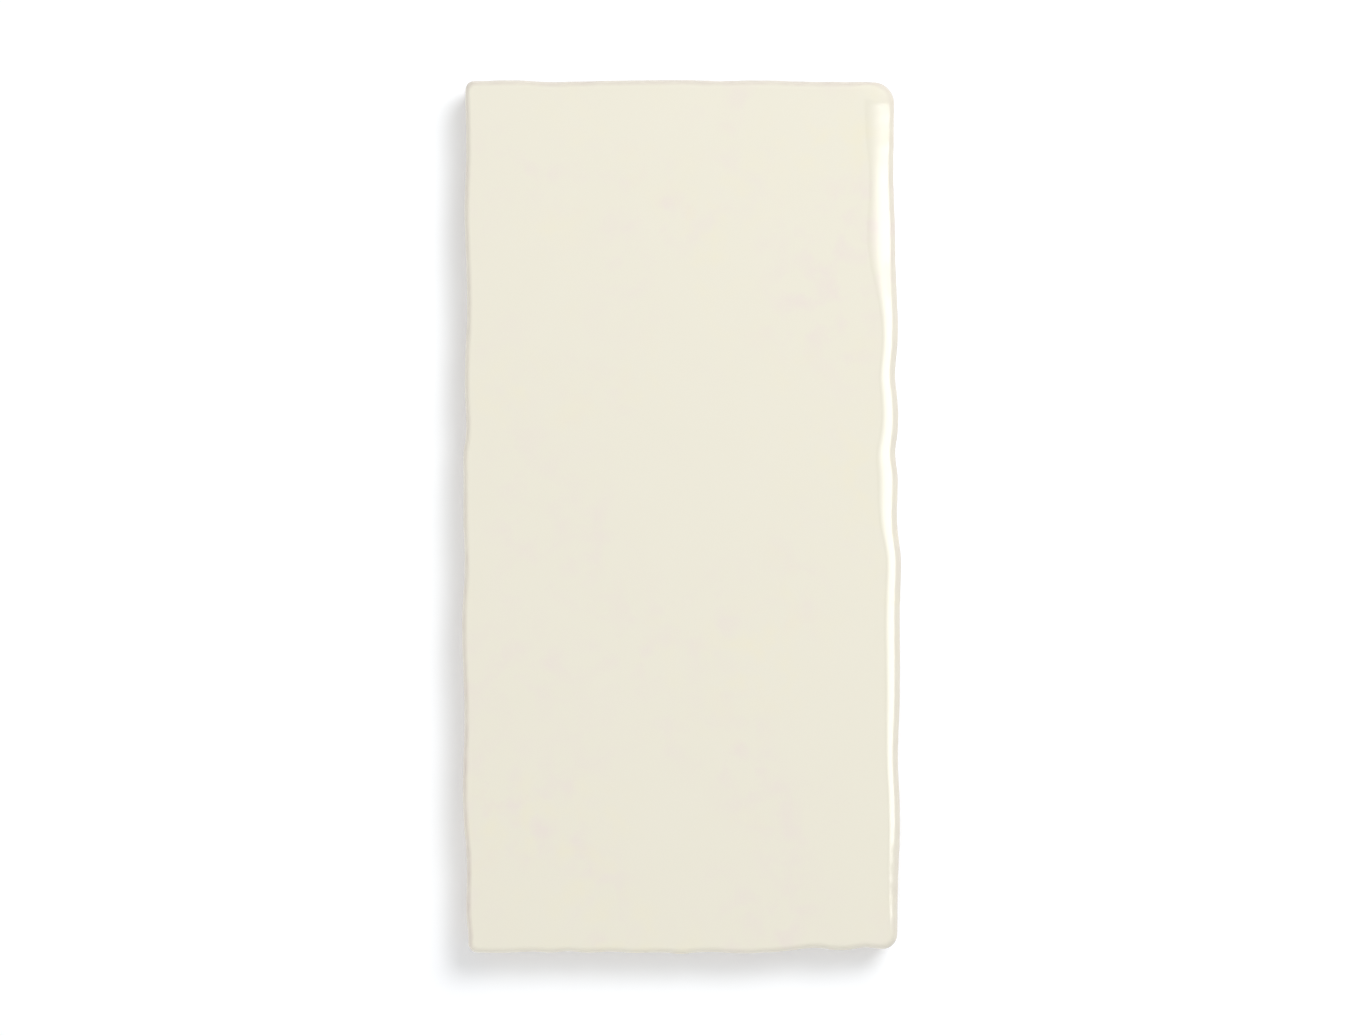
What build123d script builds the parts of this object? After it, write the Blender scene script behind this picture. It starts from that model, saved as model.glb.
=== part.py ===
"""Hand-made-look glazed wall tile, pressed and fired as one piece.

The tile lies on its back with the glazed face up.
X runs across the tile, Y along its length and Z up from the back.
All sizes are in millimetres.
"""
import os
from math import cos, radians, sin

from build123d import *

# Overall sizes of the tile
TILE_WIDTH = 74.4
TILE_LENGTH = 150.0
TILE_THICKNESS = 9.0

# Press draft of the sides, and the small arris round the back
FOOT_INSET = 0.4
ARRIS_WIDTH = 0.4
ARRIS_HEIGHT = 0.6

# The glazed edge rolls down from the face into the side
ROLL_DROP = 1.7
LEFT_ROLL_WIDTH = 1.1
TOP_ROLL_WIDTH = 1.5
BOTTOM_ROLL_WIDTH = 1.3
ROLL_ANGLES = (0, 15, 30, 45, 60, 75, 90)

# The sides and the rolled edge share one outline, alike to within this
JOIN_TOLERANCE = 0.002

# Width of the roll along the right side: share of the side from its bottom end, width
RIGHT_ROLL = (
    (0.00, 1.6),
    (0.10, 2.2),
    (0.15, 2.3),
    (0.21, 2.3),
    (0.30, 2.9),
    (0.46, 2.95),
    (0.49, 3.3),
    (0.54, 4.15),
    (0.60, 3.45),
    (0.69, 2.95),
    (0.75, 3.3),
    (0.80, 5.0),
    (0.84, 5.95),
    (0.88, 4.35),
    (0.94, 5.6),
    (1.00, 6.0),
)

# Radius of each corner, seen from above
TOP_LEFT_RADIUS = 1.6
TOP_RIGHT_RADIUS = 3.7
BOTTOM_RIGHT_RADIUS = 2.7
BOTTOM_LEFT_RADIUS = 1.7
LEAST_RADIUS = 0.6

# Waves of each side: share of the straight from its left or bottom end, outward offset
BOTTOM_WAVES = (
    (0.00, 0.12),
    (0.07, 0.17),
    (0.15, 0.00),
    (0.18, 0.15),
    (0.22, -0.09),
    (0.265, 0.14),
    (0.33, -0.03),
    (0.38, 0.19),
    (0.47, 0.17),
    (0.50, 0.38),
    (0.545, 0.09),
    (0.635, 0.24),
    (0.715, 0.12),
    (0.76, -0.12),
    (0.80, -0.45),
    (0.84, -0.69),
    (0.875, -0.38),
    (0.915, -0.33),
    (0.96, -0.77),
    (1.00, -0.50),
)
RIGHT_WAVES = (
    (0.00, 0.15),
    (0.035, 0.20),
    (0.07, 0.32),
    (0.115, 0.58),
    (0.155, 0.58),
    (0.21, 0.25),
    (0.265, 0.51),
    (0.36, 0.58),
    (0.42, 0.70),
    (0.46, 0.68),
    (0.48, 0.28),
    (0.525, 0.16),
    (0.56, 0.07),
    (0.58, -0.22),
    (0.60, 0.13),
    (0.655, -0.03),
    (0.675, -0.25),
    (0.695, 0.00),
    (0.765, 0.10),
    (0.81, -0.20),
    (0.85, -0.28),
    (0.90, -0.51),
    (1.00, -0.44),
)
TOP_WAVES = (
    (0.00, 0.00),
    (0.08, 0.12),
    (0.13, 0.07),
    (0.17, -0.12),
    (0.22, -0.14),
    (0.325, 0.03),
    (0.45, 0.15),
    (0.55, 0.14),
    (0.62, 0.02),
    (0.715, 0.12),
    (0.83, -0.10),
    (0.955, -0.15),
    (1.00, -0.20),
)
LEFT_WAVES = (
    (0.00, -0.60),
    (0.025, -0.33),
    (0.07, -0.28),
    (0.10, -0.27),
    (0.14, 0.17),
    (0.185, 0.38),
    (0.255, 0.10),
    (0.33, 0.36),
    (0.40, 0.38),
    (0.43, 0.09),
    (0.495, 0.26),
    (0.555, 0.28),
    (0.575, 0.26),
    (0.59, -0.06),
    (0.635, -0.04),
    (0.705, -0.15),
    (0.73, -0.32),
    (0.78, -0.27),
    (0.82, -0.09),
    (0.86, 0.08),
    (0.925, -0.20),
    (1.00, -0.05),
)

# Keying grooves moulded into the back, on each side of a plain centre land
GROOVE_WIDTH = 4.5
GROOVE_DEPTH = 0.7
GROOVE_PITCH = 9.0
GROOVE_DRAFT = 25.0
BACK_BORDER = 9.0


def width_at(widths, share):
    """Roll width at a share of the side, straight between the listed stations."""
    for (start, first), (end, second) in zip(widths, widths[1:]):
        if share <= end:
            return first + (second - first) * (share - start) / (end - start)
    return widths[-1][1]


def plain(width):
    """A roll of the same width all along its side."""
    return ((0.0, width), (1.0, width))


class Side:
    """One side of the outline, run anticlockwise from one corner to the next."""

    def __init__(self, distance, outward, waves, widths, radius_at_end):
        self.distance = distance
        self.outward = Vector(outward)
        self.along = self.outward.rotate(Axis.Z, 90)
        self.radius_at_end = radius_at_end
        self.stations = [(share, offset, width_at(widths, share)) for share, offset in waves]
        runs_backward = self.along.X + self.along.Y < 0
        if runs_backward:
            self.stations = [(1 - share, offset, width) for share, offset, width in reversed(self.stations)]

    def reach(self, station, inset, rolled):
        """Distance of the outline from the tile's centre at one station."""
        share, offset, width = station
        return self.distance + offset - inset - rolled * width


SIDES = (
    Side(TILE_LENGTH / 2, (0, -1), BOTTOM_WAVES, plain(BOTTOM_ROLL_WIDTH), BOTTOM_RIGHT_RADIUS),
    Side(TILE_WIDTH / 2, (1, 0), RIGHT_WAVES, RIGHT_ROLL, TOP_RIGHT_RADIUS),
    Side(TILE_LENGTH / 2, (0, 1), TOP_WAVES, plain(TOP_ROLL_WIDTH), TOP_LEFT_RADIUS),
    Side(TILE_WIDTH / 2, (-1, 0), LEFT_WAVES, plain(LEFT_ROLL_WIDTH), BOTTOM_LEFT_RADIUS),
)


def corner_after(number, inset, rolled):
    """Sharp corner point at the end of a side, and the radius that rounds it."""
    side = SIDES[number]
    following = SIDES[(number + 1) % 4]
    last = side.stations[-1]
    first = following.stations[0]
    point = side.outward * side.reach(last, inset, rolled)
    point += following.outward * following.reach(first, inset, rolled)
    moved_in = inset + rolled * min(last[2], first[2])
    return point, max(side.radius_at_end - moved_in, LEAST_RADIUS)


def ring(height, inset, rolled):
    """Closed outline at one height: four wavy sides joined by four corner arcs.

    rolled is the share of each side's roll width that the outline has moved inward.
    """
    lift = Vector(0, 0, height)
    edges = []
    for number, side in enumerate(SIDES):
        before, radius_before = corner_after((number + 3) % 4, inset, rolled)
        after, radius_after = corner_after(number, inset, rolled)
        run_start = before.dot(side.along) + radius_before
        run_end = after.dot(side.along) - radius_after
        points = []
        for station in side.stations:
            run = run_start + (run_end - run_start) * station[0]
            points.append(side.along * run + side.outward * side.reach(station, inset, rolled) + lift)
        edges.append(Spline(*points, tangents=(side.along, side.along)))

        turned = SIDES[(number + 1) % 4].along
        arc_end = after + turned * radius_after + lift
        edges.append(TangentArc(points[-1], arc_end, tangent=side.along))
    return Wire(edges)


# Plain sides with their draft, up to where the roll begins
spring_height = TILE_THICKNESS - ROLL_DROP
sides = Solid.make_loft(
    [
        ring(0, FOOT_INSET + ARRIS_WIDTH, 0),
        ring(ARRIS_HEIGHT, FOOT_INSET, 0),
        ring(spring_height, 0, 0),
    ],
    ruled=True,
)

# Rolled edge: a quarter ellipse from the side up to the flat face
roll_rings = []
for angle in ROLL_ANGLES:
    rise = ROLL_DROP * sin(radians(angle))
    rolled = 1 - cos(radians(angle))
    roll_rings.append(ring(spring_height + rise, 0, rolled))
roll = Solid.make_loft(roll_rings)

tile = sides.fuse(roll, tol=JOIN_TOLERANCE)

# Keying grooves in mirrored pairs, each narrower at its bottom
groove_room = TILE_WIDTH / 2 - BACK_BORDER
pairs = int((groove_room + (GROOVE_PITCH - GROOVE_WIDTH) / 2) // GROOVE_PITCH)
groove_length = TILE_LENGTH - 2 * BACK_BORDER
for pair in range(pairs):
    for direction in (-1, 1):
        centre = direction * (pair + 0.5) * GROOVE_PITCH
        mouth = Location((centre, 0, 0)) * Rectangle(GROOVE_WIDTH, groove_length)
        tile -= extrude(mouth, GROOVE_DEPTH, taper=GROOVE_DRAFT)

# The middle of the back's outline is the origin
box = tile.bounding_box()
tile = tile.moved(Location((-box.center().X, -box.center().Y, -box.min.Z)))

os.makedirs("parts", exist_ok=True)
export_step(tile, "parts/wall_tile.step")
print("wall_tile", tile.is_valid, tile.volume, tile.bounding_box().size)
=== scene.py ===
# %% [markdown]
# # A glazed wall tile with a hand-made look
# The object is one ceramic wall tile, seen from straight above as it lies on its back.
# Clay was pressed in a mould, dried, glazed and fired, so it is one piece with two finishes:
# glossy cream glaze on the face and the rolled edge, and bare biscuit low on the sides and on the back.
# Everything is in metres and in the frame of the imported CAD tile, which is loaded first.

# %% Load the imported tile
from math import atan2, cos, pi, radians, sin, tan

import bmesh
import bpy
import numpy as np
from mathutils import Matrix, Vector, noise


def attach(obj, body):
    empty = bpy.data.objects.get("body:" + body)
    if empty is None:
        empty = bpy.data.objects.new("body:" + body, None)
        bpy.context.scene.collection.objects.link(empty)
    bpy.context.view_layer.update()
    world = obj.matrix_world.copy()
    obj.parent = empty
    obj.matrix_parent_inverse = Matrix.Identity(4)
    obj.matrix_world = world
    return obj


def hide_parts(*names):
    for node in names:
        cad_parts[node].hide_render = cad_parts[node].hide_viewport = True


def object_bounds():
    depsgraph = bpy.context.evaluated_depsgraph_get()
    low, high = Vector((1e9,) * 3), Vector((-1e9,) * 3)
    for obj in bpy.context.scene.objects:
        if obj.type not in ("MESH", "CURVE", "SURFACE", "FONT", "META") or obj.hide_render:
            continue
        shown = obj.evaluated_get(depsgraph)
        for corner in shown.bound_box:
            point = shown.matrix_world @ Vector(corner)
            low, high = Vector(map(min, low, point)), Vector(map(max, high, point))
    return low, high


MM = 0.001
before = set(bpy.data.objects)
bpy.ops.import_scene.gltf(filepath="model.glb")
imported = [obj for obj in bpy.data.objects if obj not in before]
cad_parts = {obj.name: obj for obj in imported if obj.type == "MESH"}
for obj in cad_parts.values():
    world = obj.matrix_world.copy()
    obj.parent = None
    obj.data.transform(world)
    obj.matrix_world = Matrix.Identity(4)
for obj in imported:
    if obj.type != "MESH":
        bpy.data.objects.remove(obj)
packed_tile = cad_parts["wall_tile"]
cad_low, cad_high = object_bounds()
face_height = cad_high.z
print("packed tile", [round(side / MM, 2) for side in cad_high - cad_low], "mm")

# %% [markdown]
# ## Edge lines
# The charm of this tile is its uneven outline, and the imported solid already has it.
# The solid's mesh has corners along the edge of the flat face, along the line where the rolled edge
# becomes the side, and along the arris round the back. Each of these lines lies at one height,
# so its corners can be picked by height and sorted by direction from the middle.
# A Bezier curve with automatic handles then passes smoothly through them, which is better
# than straight pieces because a glossy edge shows every kink.

# %% Read the edge lines
ROLL_DROP = 1.7 * MM
ARRIS_HEIGHT = 0.6 * MM
ARRIS_WIDTH = 0.4 * MM
LEVEL_TOLERANCE = 0.002 * MM
# Corners that agree to this many decimals of a metre are one corner
CORNER_DECIMALS = 7
CURVE_STEPS = 8
spring_height = face_height - ROLL_DROP


def edge_line(height):
    """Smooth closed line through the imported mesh's corners at one height."""
    corners = {
        (round(vertex.co.x, CORNER_DECIMALS), round(vertex.co.y, CORNER_DECIMALS))
        for vertex in packed_tile.data.vertices
        if abs(vertex.co.z - height) < LEVEL_TOLERANCE
    }
    ordered = sorted(corners, key=lambda corner: atan2(corner[1], corner[0]))
    curve = bpy.data.curves.new("edge_line", "CURVE")
    curve.dimensions = "3D"
    spline = curve.splines.new("BEZIER")
    spline.bezier_points.add(len(ordered) - 1)
    spline.use_cyclic_u = True
    spline.resolution_u = CURVE_STEPS
    for point, (x, y) in zip(spline.bezier_points, ordered):
        point.handle_left_type = "AUTO"
        point.handle_right_type = "AUTO"
        point.co = (x, y, 0)
    holder = bpy.data.objects.new("edge_line", curve)
    drawn = bpy.data.meshes.new_from_object(holder)
    line = np.array([vertex.co.xy for vertex in drawn.vertices])
    bpy.data.objects.remove(holder)
    bpy.data.curves.remove(curve)
    bpy.data.meshes.remove(drawn)
    return line


face_line = edge_line(face_height)
spring_line = edge_line(spring_height)
arris_line = edge_line(ARRIS_HEIGHT)
print("points on the edge lines", len(face_line), len(spring_line), len(arris_line))

# %% [markdown]
# ## Stations round the tile
# The mesh will be a grid for the face with a skirt of rings round it, so all the lines need
# the same number of points at matching places. Each line is cut at its four corners,
# and each side is divided into the same number of steps, a little closer together near the corners,
# where the outline turns fast.

# %% Divide each line into matching stations
ACROSS = 150
ALONG = 300
CORNER_CROWDING = 0.3
CORNER_DIRECTIONS = ((-1, -1), (1, -1), (1, 1), (-1, 1))


def shares(count):
    """Shares of a side's length, closer together at its two ends."""
    even = np.linspace(0, 1, count + 1)
    return even - CORNER_CROWDING * np.sin(2 * pi * even) / (2 * pi)


def stations(line):
    """Matching points anticlockwise from the bottom left corner."""
    first = np.argmax(line @ np.array(CORNER_DIRECTIONS[0]))
    line = np.roll(line, -first, axis=0)
    cuts = [int(np.argmax(line @ np.array(direction))) for direction in CORNER_DIRECTIONS]
    closed = np.vstack([line, line[:1]])
    cuts.append(len(line))
    points = []
    for start, end, count in zip(cuts, cuts[1:], (ACROSS, ALONG, ACROSS, ALONG)):
        side = closed[start : end + 1]
        run = np.append(0, np.cumsum(np.linalg.norm(np.diff(side, axis=0), axis=1)))
        places = shares(count)[:-1] * run[-1]
        x = np.interp(places, run, side[:, 0])
        y = np.interp(places, run, side[:, 1])
        points.append(np.stack([x, y], axis=1))
    return np.vstack(points)


face_ring = stations(face_line)
spring_ring = stations(spring_line)
arris_ring = stations(arris_line)
step = np.roll(spring_ring, -1, axis=0) - np.roll(spring_ring, 1, axis=0)
outward = np.stack([step[:, 1], -step[:, 0]], axis=1) / np.linalg.norm(step, axis=1)[:, None]
print("stations round the tile", len(face_ring))

# %% [markdown]
# ## The glazed face
# Pressed clay is never quite flat, and glaze settles into soft dips that only a reflection shows.
# The face starts as a grid. Each grid corner is blended from the four sides of the face line,
# so the grid fills the uneven outline without a seam, and a low, smooth noise then lowers it a little.
# The dips go down only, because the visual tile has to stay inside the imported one.

# %% Make the face
WAVE_LENGTH = 30 * MM
WAVE_DEPTH = 0.10 * MM
RIPPLE_LENGTH = 9 * MM
RIPPLE_DEPTH = 0.02 * MM


def swell(place, length):
    """Smooth noise between 0 and 1 whose bumps are about one length across."""
    return 0.5 + 0.5 * max(-1, min(1, noise.noise(Vector(place) / length)))


def dip(x, y):
    """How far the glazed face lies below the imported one."""
    return WAVE_DEPTH * swell((x, y, 0), WAVE_LENGTH) + RIPPLE_DEPTH * swell((x, y, 1), RIPPLE_LENGTH)


bottom = np.vstack([face_ring[:ACROSS], face_ring[ACROSS]])
right = np.vstack([face_ring[ACROSS : ACROSS + ALONG], face_ring[ACROSS + ALONG]])
top = face_ring[ACROSS + ALONG : 2 * ACROSS + ALONG + 1][::-1]
left = np.vstack([face_ring[2 * ACROSS + ALONG :], face_ring[0]])[::-1]
u = shares(ACROSS)
v = shares(ALONG)

tile = bmesh.new()
station_of = tile.verts.layers.int.new("station")
tint_and_shade_of = tile.verts.layers.float.new("tint_and_shade")
bmesh.ops.create_grid(tile, x_segments=ACROSS, y_segments=ALONG, size=0.5)
for vertex in tile.verts:
    i = round((vertex.co.x + 0.5) * ACROSS)
    j = round((vertex.co.y + 0.5) * ALONG)
    sides = (1 - v[j]) * bottom[i] + v[j] * top[i] + (1 - u[i]) * left[j] + u[i] * right[j]
    lower = (1 - v[j]) * ((1 - u[i]) * bottom[0] + u[i] * bottom[-1])
    upper = v[j] * ((1 - u[i]) * top[0] + u[i] * top[-1])
    x, y = sides - lower - upper
    vertex.co = (x, y, face_height - dip(x, y))
    if j == 0:
        vertex[station_of] = i
    elif i == ACROSS:
        vertex[station_of] = ACROSS + j
    elif j == ALONG:
        vertex[station_of] = 2 * ACROSS + ALONG - i
    elif i == 0:
        vertex[station_of] = 2 * ACROSS + 2 * ALONG - j
print("face", len(tile.faces), "quads")

# %% [markdown]
# ## The rolled edge
# Glaze and worn mould edges leave a soft roll from the face into the side.
# It is wide along one long side and narrow along the others, and the imported solid has it as a
# quarter ellipse between the face line and the spring line. A bevel would give one width all round,
# so the open edge of the grid is extruded ring by ring instead, and each new ring
# is placed on that ellipse, station by station. The outline gets small nicks.
# Each ring also keeps a value for how strongly a darker lip line is painted there. It covers about the
# outermost millimetre, most of all along the top and low on the left. The line is partly the warm body's
# tint where the glaze thins and partly painted shade, its strength on each side set to how dark that edge
# line looks.

# %% Roll the edge down
ROLL_STEPS = 16
NICK_LENGTH = 2.5 * MM
NICK_DEPTH = 0.1 * MM
LIP_WIDTH = 1.2 * MM
# How strongly the lip line is painted on each side: partly the body's tint, partly painted shade
TINT_AND_SHADE_MEAN = 0.29
TINT_AND_SHADE_SWING = (0.01, 0.19)
TINT_AND_SHADE_LOW_LEFT = 0.3
GLAZE, BISCUIT = 0, 1


def extrude_ring(places, heights, tint_and_shade, finish):
    """Extrude the tile's open edge and put each new corner at its station's place."""
    open_edge = [edge for edge in tile.edges if edge.is_boundary]
    made = bmesh.ops.extrude_edge_only(tile, edges=open_edge)["geom"]
    for part in made:
        if isinstance(part, bmesh.types.BMVert):
            at = part[station_of]
            part.co = (*places[at], heights[at])
            part[tint_and_shade_of] = tint_and_shade[at]
        elif isinstance(part, bmesh.types.BMFace):
            part.material_index = finish


nicks = np.array([NICK_DEPTH * swell((x, y, 2), NICK_LENGTH) for x, y in spring_ring])
lip_ring = spring_ring - outward * nicks[:, None]
roll_widths = np.sum((spring_ring - face_ring) * outward, axis=1)
# The lip line's share: partly body tint under thin glaze, partly painted shade, darker along the top and
# low on the left
lip_tint_and_shade = TINT_AND_SHADE_MEAN - TINT_AND_SHADE_SWING[0] * outward[:, 0] + TINT_AND_SHADE_SWING[1] * outward[:, 1]
low_left = np.clip(-outward[:, 0], 0, 1) * np.clip(spring_ring[:, 1] / cad_low.y, 0, 1)
lip_tint_and_shade += TINT_AND_SHADE_LOW_LEFT * low_left
for number in range(1, ROLL_STEPS + 1):
    angle = radians(90) * (1 - number / ROLL_STEPS)
    places = face_ring + (lip_ring - face_ring) * cos(angle)
    dips = np.array([dip(x, y) for x, y in places])
    heights = spring_height + (ROLL_DROP - dips) * sin(angle)
    to_outline = roll_widths * (1 - cos(angle))
    extrude_ring(places, heights, lip_tint_and_shade * np.clip(2 - 2 * to_outline / LIP_WIDTH, 0, 1), GLAZE)
narrowest = round(roll_widths.min() / MM, 1)
widest = round(roll_widths.max() / MM, 1)
print("rolled edge from", narrowest, "to", widest, "mm wide")

# %% [markdown]
# ## The sides
# The glaze runs over the edge and stops part of the way down in an uneven bead.
# Below it the pressed biscuit is bare, drawn in a little towards the back as it left the mould.
# The bead is modelled, not painted: one ring stands proud, the next steps in under it,
# and their heights wander from station to station.

# %% Bring the sides down to the back
GLAZE_STOP = 3.4 * MM
RUN_LENGTHS = (16 * MM, 5 * MM)
RUN_HEIGHTS = (1.8 * MM, 0.7 * MM)
GLAZE_THICKNESS = 0.12 * MM
BEAD_HEIGHT = 0.35 * MM
# The bead from the top down: height above the stop in bead heights, stand-out in glaze thicknesses
BEAD_PROFILE = ((2.0, 0.0), (1.0, 0.3), (0.4, 0.2), (0.0, -1.0))
UNDER_ROLL = 0.15


def side_places(heights, proud):
    """Places on the drawn-in side at the given heights, moved out by proud."""
    share = (spring_height - heights) / (spring_height - ARRIS_HEIGHT)
    return lip_ring + (arris_ring - spring_ring) * share[:, None] + outward * proud


runs = np.zeros(len(spring_ring))
for length, height in zip(RUN_LENGTHS, RUN_HEIGHTS):
    runs += np.array([height * (swell((x, y, 3), length) - 0.5) for x, y in spring_ring])
stop = GLAZE_STOP + runs
level = np.ones(len(spring_ring))
side_rings = [(spring_height + UNDER_ROLL * (stop - spring_height), 0, GLAZE)]
for up, out in BEAD_PROFILE:
    side_rings.append((stop + up * BEAD_HEIGHT, out * GLAZE_THICKNESS, GLAZE))
for heights in (stop - BEAD_HEIGHT, (stop + ARRIS_HEIGHT) / 2, ARRIS_HEIGHT * level):
    side_rings.append((heights, -GLAZE_THICKNESS, BISCUIT))
for heights, proud, finish in side_rings:
    extrude_ring(side_places(heights, proud), heights, 0 * level, finish)
foot_ring = side_places(ARRIS_HEIGHT * level, -GLAZE_THICKNESS) - outward * ARRIS_WIDTH
extrude_ring(foot_ring, 0 * level, 0 * level, BISCUIT)
print("glaze stops between", round(stop.min() / MM, 1), "and", round(stop.max() / MM, 1), "mm up")

# %% [markdown]
# ## The back
# The back of a wall tile has shallow grooves that the adhesive keys into.
# A strip grid with one column for each groove and each land gives them directly:
# every other face is extruded upwards and its end drawn in, as a mould needs.
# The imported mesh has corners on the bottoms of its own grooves, and they say where the middle is.
# The flat border between the strip grid and the foot of the sides is then filled with triangles.

# %% Close the back with its keying grooves
GROOVE_COLUMNS = 11
GROOVE_WIDTH = 4.5 * MM
GROOVE_LENGTH = 132 * MM
GROOVE_DEPTH = 0.7 * MM
GROOVE_DRAFT = GROOVE_DEPTH * tan(radians(25))

packed_corners = [
    vertex.co.xy
    for vertex in packed_tile.data.vertices
    if abs(vertex.co.z - GROOVE_DEPTH) < LEVEL_TOLERANCE
]
groove_middle = (np.min(packed_corners, axis=0) + np.max(packed_corners, axis=0)) / 2
field = bmesh.ops.create_grid(tile, x_segments=GROOVE_COLUMNS, y_segments=1, size=0.5)["verts"]
for vertex in field:
    vertex.co.x = groove_middle[0] + GROOVE_COLUMNS * GROOVE_WIDTH * vertex.co.x
    vertex.co.y = groove_middle[1] + GROOVE_LENGTH * vertex.co.y
field_faces = {face for vertex in field for face in vertex.link_faces}
columns = sorted(field_faces, key=lambda face: face.calc_center_median().x)
open_edges = [edge for edge in tile.edges if edge.is_boundary]
bmesh.ops.triangle_fill(tile, use_beauty=True, edges=open_edges, normal=(0, 0, -1))
for floor_face in bmesh.ops.extrude_discrete_faces(tile, faces=columns[::2])["faces"]:
    middle = floor_face.calc_center_median()
    for vertex in floor_face.verts:
        vertex.co.x -= GROOVE_DRAFT if vertex.co.x > middle.x else -GROOVE_DRAFT
        vertex.co.y -= GROOVE_DRAFT if vertex.co.y > middle.y else -GROOVE_DRAFT
        vertex.co.z += GROOVE_DEPTH
for face in tile.faces:
    if face.calc_center_median().z < ARRIS_HEIGHT + GROOVE_DEPTH:
        face.material_index = BISCUIT
print("grooves centred at", [round(float(place) / MM, 2) for place in groove_middle], "mm")
print("open edges left", sum(edge.is_boundary for edge in tile.edges))

# %% [markdown]
# ## Finishing the mesh
# The faces are turned outwards and shaded smooth, so that the roll shows one clean highlight.
# Edges that turn sharply, such as those of the grooves and the foot of the arris, are marked sharp,
# or smooth shading would smear across them.

# %% Turn the mesh into the tile object
SHARP_ANGLE = radians(40)

bmesh.ops.recalc_face_normals(tile, faces=tile.faces)
for face in tile.faces:
    face.smooth = True
for edge in tile.edges:
    edge.smooth = edge.calc_face_angle(pi) < SHARP_ANGLE
tile_mesh = bpy.data.meshes.new("glazed_tile")
tile.to_mesh(tile_mesh)
tile.free()
glazed_tile = bpy.data.objects.new("glazed_tile", tile_mesh)
bpy.context.scene.collection.objects.link(glazed_tile)
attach(glazed_tile, "root")
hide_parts("wall_tile")
triangles = sum(len(polygon.vertices) - 2 for polygon in tile_mesh.polygons)
print("glazed_tile has", triangles, "triangles")

# %% [markdown]
# ## Colours and nodes
# Colours are written as the sRGB hex values that a picture shows, and Blender's shaders want linear light,
# so one function converts them. Another adds a node with its settings and links.
# The Mix node keeps a set of sockets for each kind of value, and its colour sockets are known by number.

# %% Small helpers for colours and nodes
SHARE, FIRST, SECOND, MIXED = 0, 6, 7, 2


def linear(hex_colour):
    """Linear red, green, blue and alpha of an sRGB hex colour."""
    parts = [int(hex_colour[i : i + 2], 16) / 255 for i in (1, 3, 5)]
    return [p / 12.92 if p <= 0.04045 else ((p + 0.055) / 1.055) ** 2.4 for p in parts] + [1]


def add(tree, kind, inputs, **settings):
    """Add a node; an input is either a value or another node's output to link."""
    node = tree.nodes.new(kind)
    for name, value in settings.items():
        setattr(node, name, value)
    for name, value in inputs.items():
        if isinstance(value, bpy.types.NodeSocket):
            tree.links.new(value, node.inputs[name])
        else:
            node.inputs[name].default_value = value
    return node


def new_material(name):
    """A new material and its empty node tree."""
    material = bpy.data.materials.new(name)
    material.use_nodes = True
    material.node_tree.nodes.clear()
    return material, material.node_tree


# %% [markdown]
# ## Cream glaze
# An opaque, glossy tin-white glaze that was poured on and fired until it flowed.
# It gives the eye a warm off-white with a hard shine. Where it lay a little thicker or thinner
# it fired a touch pinker or yellower, in loose clusters of spots a few millimetres across.
# Each tint is the product of two noises, a broad one for the clusters and a fine one for the spots.
# Along the lip a fine darker line is mixed in, partly the warm body showing through where the glaze thins
# and partly painted shade, and the value that each ring of the mesh carries says where and how strongly.

# %% Make the cream glaze
PATCH_SIZE = 9 * MM
CLUSTER_SIZE = 24 * MM
SPOT_SIZE = 4 * MM
# A spot comes in as its noise rises from the first value to the second
SPOT_RISE = (0.46, 0.68)
CREAMS = ("#EDE9D9", "#ECE8D7")
TINTS = ("#ECE4D9", "#EEE9D4")

cream_glaze, tree = new_material("cream_glaze")
place = add(tree, "ShaderNodeTexCoord", {}).outputs["Object"]
patches = add(tree, "ShaderNodeTexNoise", {"Vector": place, "Scale": 1 / PATCH_SIZE})
colours = {SHARE: patches.outputs["Fac"], FIRST: linear(CREAMS[0]), SECOND: linear(CREAMS[1])}
glaze = add(tree, "ShaderNodeMix", colours, data_type="RGBA")
for number, tint in enumerate(TINTS):
    amount = 1.0
    for size in (CLUSTER_SIZE, SPOT_SIZE):
        pattern = {"Vector": place, "W": number + 1, "Scale": 1 / size}
        spots = add(tree, "ShaderNodeTexNoise", pattern, noise_dimensions="4D")
        limits = {"Value": spots.outputs["Fac"], "From Min": SPOT_RISE[0], "From Max": SPOT_RISE[1]}
        raised = add(tree, "ShaderNodeMapRange", limits)
        factors = {0: amount, 1: raised.outputs["Result"]}
        amount = add(tree, "ShaderNodeMath", factors, operation="MULTIPLY").outputs["Value"]
    colours = {SHARE: amount, FIRST: glaze.outputs[MIXED], SECOND: linear(tint)}
    glaze = add(tree, "ShaderNodeMix", colours, data_type="RGBA")
print("cream_glaze has", len(TINTS), "tints")

# %% Paint the lip line, part body tint and part painted shade, and give the glaze its shine
# The lip line's colour: the warm body's tint, also used as painted shade along the edge
LIP_TINT_AND_SHADE_COLOUR = "#D4C8BF"
LIP_SIZE = 3 * MM
LIP_SWING = (0.75, 1.25)
PEEL_SIZE = 1.6 * MM
PEEL_HEIGHT = 0.003 * MM
ROUGHNESS = (0.04, 0.06)
# Nearly all values of a noise lie between these two
NOISE_SPREAD = (0.3, 0.7)

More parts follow.
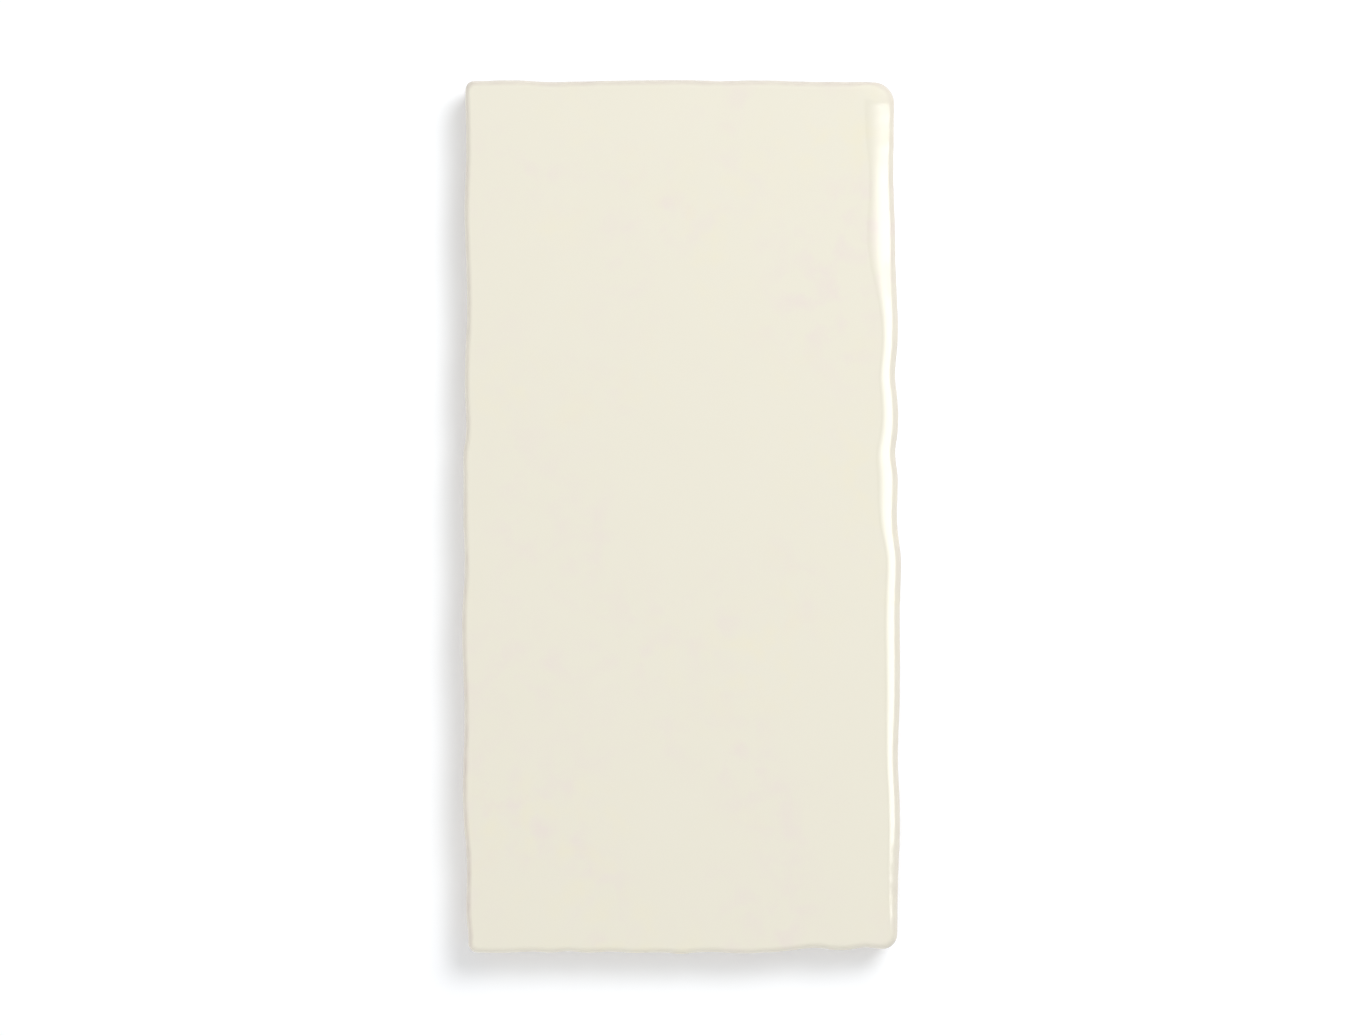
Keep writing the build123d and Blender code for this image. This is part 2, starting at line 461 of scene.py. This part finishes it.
tint_and_shade = add(tree, "ShaderNodeAttribute", {}, attribute_name="tint_and_shade")
lip_noise = add(tree, "ShaderNodeTexNoise", {"Vector": place, "Scale": 1 / LIP_SIZE})
limits = {
    "Value": lip_noise.outputs["Fac"],
    "From Min": NOISE_SPREAD[0],
    "From Max": NOISE_SPREAD[1],
    "To Min": LIP_SWING[0],
    "To Max": LIP_SWING[1],
}
uneven = add(tree, "ShaderNodeMapRange", limits)
tint_and_shade_share = add(
    tree,
    "ShaderNodeMath",
    {0: tint_and_shade.outputs["Fac"], 1: uneven.outputs["Result"]},
    operation="MULTIPLY",
    use_clamp=True,
)
colours = {SHARE: tint_and_shade_share.outputs["Value"], FIRST: glaze.outputs[MIXED], SECOND: linear(LIP_TINT_AND_SHADE_COLOUR)}
glaze = add(tree, "ShaderNodeMix", colours, data_type="RGBA")
peel = add(tree, "ShaderNodeTexNoise", {"Vector": place, "Scale": 1 / PEEL_SIZE, "Detail": 1.0})
bump = add(tree, "ShaderNodeBump", {"Height": peel.outputs["Fac"], "Distance": PEEL_HEIGHT})
limits = {
    "Value": patches.outputs["Fac"],
    "From Min": NOISE_SPREAD[0],
    "From Max": NOISE_SPREAD[1],
    "To Min": ROUGHNESS[0],
    "To Max": ROUGHNESS[1],
}
shine = add(tree, "ShaderNodeMapRange", limits)
surface = add(
    tree,
    "ShaderNodeBsdfPrincipled",
    {
        "Base Color": glaze.outputs[MIXED],
        "Roughness": shine.outputs["Result"],
        "IOR": 1.5,
        "Normal": bump.outputs["Normal"],
    },
)
add(tree, "ShaderNodeOutputMaterial", {"Surface": surface.outputs["BSDF"]})
glazed_tile.data.materials.append(cream_glaze)
print("cream_glaze has", len(tree.nodes), "nodes")

# %% [markdown]
# ## Biscuit
# Fired, unglazed clay of a pale buff pink, pressed in a mould and a little sandy to the touch.
# It gives the eye a dull, chalky surface with fine grit and faint darker clouds.
# Real grit is a few tenths of a millimetre, and it is drawn at about that size.

# %% Make the biscuit
CLAYS = ("#DDD1C3", "#D2C3B3")
GRAIN_COLOUR = "#B8A493"
STAIN_SIZE = 12 * MM
GRIT_SIZE = 0.5 * MM
GRIT_HEIGHT = 0.03 * MM
# A dark grain comes in as the grit's noise rises from the first value to the second
GRAIN_RISE = (0.58, 0.75)
GRAIN_SHARE = 0.5

buff_biscuit, tree = new_material("buff_biscuit")
place = add(tree, "ShaderNodeTexCoord", {}).outputs["Object"]
stains = add(tree, "ShaderNodeTexNoise", {"Vector": place, "Scale": 1 / STAIN_SIZE, "Detail": 4.0})
colours = {SHARE: stains.outputs["Fac"], FIRST: linear(CLAYS[0]), SECOND: linear(CLAYS[1])}
clay = add(tree, "ShaderNodeMix", colours, data_type="RGBA")
grit = add(tree, "ShaderNodeTexNoise", {"Vector": place, "Scale": 1 / GRIT_SIZE, "Detail": 3.0})
limits = {
    "Value": grit.outputs["Fac"],
    "From Min": GRAIN_RISE[0],
    "From Max": GRAIN_RISE[1],
    "To Max": GRAIN_SHARE,
}
grains = add(tree, "ShaderNodeMapRange", limits)
colours = {SHARE: grains.outputs["Result"], FIRST: clay.outputs[MIXED], SECOND: linear(GRAIN_COLOUR)}
clay = add(tree, "ShaderNodeMix", colours, data_type="RGBA")
bump = add(tree, "ShaderNodeBump", {"Height": grit.outputs["Fac"], "Distance": GRIT_HEIGHT})
surface = add(
    tree,
    "ShaderNodeBsdfPrincipled",
    {
        "Base Color": clay.outputs[MIXED],
        "Roughness": 0.9,
        "IOR": 1.45,
        "Normal": bump.outputs["Normal"],
    },
)
add(tree, "ShaderNodeOutputMaterial", {"Surface": surface.outputs["BSDF"]})
glazed_tile.data.materials.append(buff_biscuit)
print("buff_biscuit has", len(tree.nodes), "nodes")

# %% [markdown]
# ## Floor and world
# The photograph has a pure white ground with a soft grey shadow. Pale paint under studio light renders
# a little grey, so the floor adds a small glow of white that only the camera and reflections see.
# The paint still takes the shadow. The world does the same:
# white to the eye, and a softer fill to everything that it lights.

# %% Make the floor and the world
FLOOR_SIZE = 6.0
FLOOR_PAINT = "#F2F4F7"
FLOOR_GLOW = 0.173
FILL_STRENGTH = 0.5
WORLD_WHITE = 1.0


def seen_by_eye(tree):
    """One for rays that the camera sees straight, in a reflection or through glass; else zero."""
    path = add(tree, "ShaderNodeLightPath", {})
    seen = path.outputs["Is Camera Ray"]
    for ray in ("Is Glossy Ray", "Is Transmission Ray"):
        either = add(tree, "ShaderNodeMath", {0: seen, 1: path.outputs[ray]}, operation="MAXIMUM")
        seen = either.outputs["Value"]
    return seen


white_floor, tree = new_material("white_floor")
glow_strength = add(tree, "ShaderNodeMath", {0: seen_by_eye(tree), 1: FLOOR_GLOW}, operation="MULTIPLY")
glow = add(tree, "ShaderNodeEmission", {"Strength": glow_strength.outputs["Value"]})
paint = add(tree, "ShaderNodeBsdfDiffuse", {"Color": linear(FLOOR_PAINT)})
both = add(tree, "ShaderNodeAddShader", {0: paint.outputs["BSDF"], 1: glow.outputs["Emission"]})
add(tree, "ShaderNodeOutputMaterial", {"Surface": both.outputs["Shader"]})


def add_board(name, across, upright, material):
    """A flat board of the studio."""
    shape = bmesh.new()
    stretch = Matrix.Diagonal((across, upright, 1, 1))
    bmesh.ops.create_grid(shape, x_segments=1, y_segments=1, size=0.5, matrix=stretch)
    mesh = bpy.data.meshes.new(name)
    shape.to_mesh(mesh)
    shape.free()
    board = bpy.data.objects.new(name, mesh)
    board.data.materials.append(material)
    bpy.context.scene.collection.objects.link(board)
    return board


floor = add_board("floor", FLOOR_SIZE, FLOOR_SIZE, white_floor)

world = bpy.data.worlds.new("soft_fill")
world.use_nodes = True
tree = world.node_tree
tree.nodes.clear()
fill = add(tree, "ShaderNodeBackground", {"Color": linear("#FFFFFF"), "Strength": FILL_STRENGTH})
white = add(tree, "ShaderNodeBackground", {"Color": linear("#FFFFFF"), "Strength": WORLD_WHITE})
both = add(
    tree,
    "ShaderNodeMixShader",
    {0: seen_by_eye(tree), 1: fill.outputs["Background"], 2: white.outputs["Background"]},
)
add(tree, "ShaderNodeOutputWorld", {"Surface": both.outputs["Shader"]})
bpy.context.scene.world = world
bpy.context.scene.view_settings.view_transform = "Standard"
print("floor", FLOOR_SIZE, "m, fill", FILL_STRENGTH)

# %% [markdown]
# ## Lights
# One softbox to the upper right is the key, and it throws the short, soft shadow to the lower left.
# A second, weaker one stands low on the other side as a bounce card would,
# and keeps the shaded lip and the shadow from going too dark.
# Both are left out of reflections, because the glaze would show them as hard squares.

# %% Place the lights
KEY_DISTANCE = 1.0
KEY_DIRECTION = (radians(49.5), radians(52.5))
KEY_SIZE = 0.5
KEY_POWER = 5.82
BOUNCE_DISTANCE = 1.0
BOUNCE_DIRECTION = (radians(225), radians(10))
BOUNCE_SIZE = 0.6
BOUNCE_POWER = 4.0


def toward(direction):
    """Unit vector of an azimuth from +X and an elevation."""
    azimuth, elevation = direction
    return Vector((cos(elevation) * cos(azimuth), cos(elevation) * sin(azimuth), sin(elevation)))


def facing(place, aim):
    """Placing of something that faces a point, with its own X level."""
    turn = (Vector(aim) - Vector(place)).to_track_quat("-Z", "Y")
    return Matrix.Translation(place) @ turn.to_matrix().to_4x4()


def add_softbox(name, placing, across, upright, power):
    """A rectangular softbox, unseen by the camera."""
    lamp = bpy.data.lights.new(name, "AREA")
    lamp.shape = "RECTANGLE"
    lamp.size = across
    lamp.size_y = upright
    lamp.energy = power
    softbox = bpy.data.objects.new(name, lamp)
    softbox.matrix_world = placing
    softbox.visible_camera = False
    bpy.context.scene.collection.objects.link(softbox)
    return softbox


centre = Vector((0, 0, 0))
key_placing = facing(KEY_DISTANCE * toward(KEY_DIRECTION), centre)
key = add_softbox("key", key_placing, KEY_SIZE, KEY_SIZE, KEY_POWER)
key.visible_glossy = False
bounce_placing = facing(BOUNCE_DISTANCE * toward(BOUNCE_DIRECTION), centre)
bounce = add_softbox("bounce", bounce_placing, BOUNCE_SIZE, BOUNCE_SIZE, BOUNCE_POWER)
bounce.visible_glossy = False

# %% [markdown]
# ## The strip
# A glossy slope shows whatever stands at twice its own tilt, so the bright band along the wide rolled edge
# is the reflection of a tall strip of light on that side. The strip is a glowing board
# that only reflections see, and it is set out by angles from straight up, as the rolled edge sees them.
# Its upper edge fades to black cloth, which gives the band a soft inner side with a darker line beside it.
# Its lower edge and its ends fade to the white of the world instead,
# so that no dark board shows in the flat face when it is seen from the other side.

# %% Place the strip
STRIP_DISTANCE = 0.7
STRIP_EDGES = (radians(6), radians(58))
STRIP_FULL = (radians(30), radians(50))
STRIP_ENDS = (-0.119, 0.15)
STRIP_END_FADES = (0.026, 0.045)
STRIP_STRENGTH = 7.4
BAND_INSET = 2 * MM

strip_tilt = sum(STRIP_EDGES) / 2
strip_aim = Vector((cad_high.x - BAND_INSET, sum(STRIP_ENDS) / 2, face_height))
strip_place = strip_aim + STRIP_DISTANCE * Vector((sin(strip_tilt), 0, cos(strip_tilt)))
half_length = (STRIP_ENDS[1] - STRIP_ENDS[0]) / 2
half_height = STRIP_DISTANCE * tan(strip_tilt - STRIP_EDGES[0])
high_full = STRIP_DISTANCE * tan(strip_tilt - STRIP_FULL[0])
low_full = STRIP_DISTANCE * tan(strip_tilt - STRIP_FULL[1])

strip_cloth, tree = new_material("strip_cloth")
place = add(tree, "ShaderNodeTexCoord", {}).outputs["Object"]
on_strip = add(tree, "ShaderNodeSeparateXYZ", {"Vector": place})


def faded(strength, axis, edge, full):
    """The strength with a smooth fade, from nothing at an edge of the strip to all of it further in."""
    limits = {"Value": on_strip.outputs[axis], "From Min": edge, "From Max": full}
    fade = add(tree, "ShaderNodeMapRange", limits, interpolation_type="SMOOTHSTEP")
    factors = {0: strength, 1: fade.outputs["Result"]}
    return add(tree, "ShaderNodeMath", factors, operation="MULTIPLY").outputs["Value"]


over_white = faded(STRIP_STRENGTH - WORLD_WHITE, "X", -half_length, STRIP_END_FADES[0] - half_length)
over_white = faded(over_white, "X", half_length, half_length - STRIP_END_FADES[1])
over_white = faded(over_white, "Y", -half_height, low_full)
strength = add(tree, "ShaderNodeMath", {0: over_white, 1: WORLD_WHITE}, operation="ADD").outputs["Value"]
glow = add(tree, "ShaderNodeEmission", {"Strength": faded(strength, "Y", half_height, high_full)})
add(tree, "ShaderNodeOutputMaterial", {"Surface": glow.outputs["Emission"]})

strip = add_board("strip", 2 * half_length, 2 * half_height, strip_cloth)
strip.matrix_world = facing(strip_place, strip_aim)
strip.visible_camera = False
strip.visible_diffuse = False
strip.visible_shadow = False
print("strip", round(2 * half_length, 2), "m long and", round(2 * half_height, 2), "m tall")

# %% [markdown]
# ## Camera
# The photograph looks straight down from far away, so its lines stay parallel.
# A long lens gives that. Its distance follows from the scale of the picture at the tile's outline,
# and its place from where the tile's middle lies in the picture.

# %% Place the camera
PHOTO_SIZE = (1361, 1036)
TILE_MIDDLE_PIXEL = (681.55, 517.1)
PIXELS_PER_MM = 5.81
LENS_MM = 150
SENSOR_MM = 36

metres_per_pixel = MM / PIXELS_PER_MM
lens = bpy.data.cameras.new("camera")
lens.lens = LENS_MM
lens.sensor_width = SENSOR_MM
camera = bpy.data.objects.new("camera", lens)
camera_distance = PHOTO_SIZE[0] * metres_per_pixel * LENS_MM / SENSOR_MM
camera.location = (
    (PHOTO_SIZE[0] / 2 - TILE_MIDDLE_PIXEL[0]) * metres_per_pixel,
    (TILE_MIDDLE_PIXEL[1] - PHOTO_SIZE[1] / 2) * metres_per_pixel,
    spring_height + camera_distance,
)
bpy.context.scene.collection.objects.link(camera)
bpy.context.scene.camera = camera
print("camera", round(camera_distance, 3), "m above the outline")
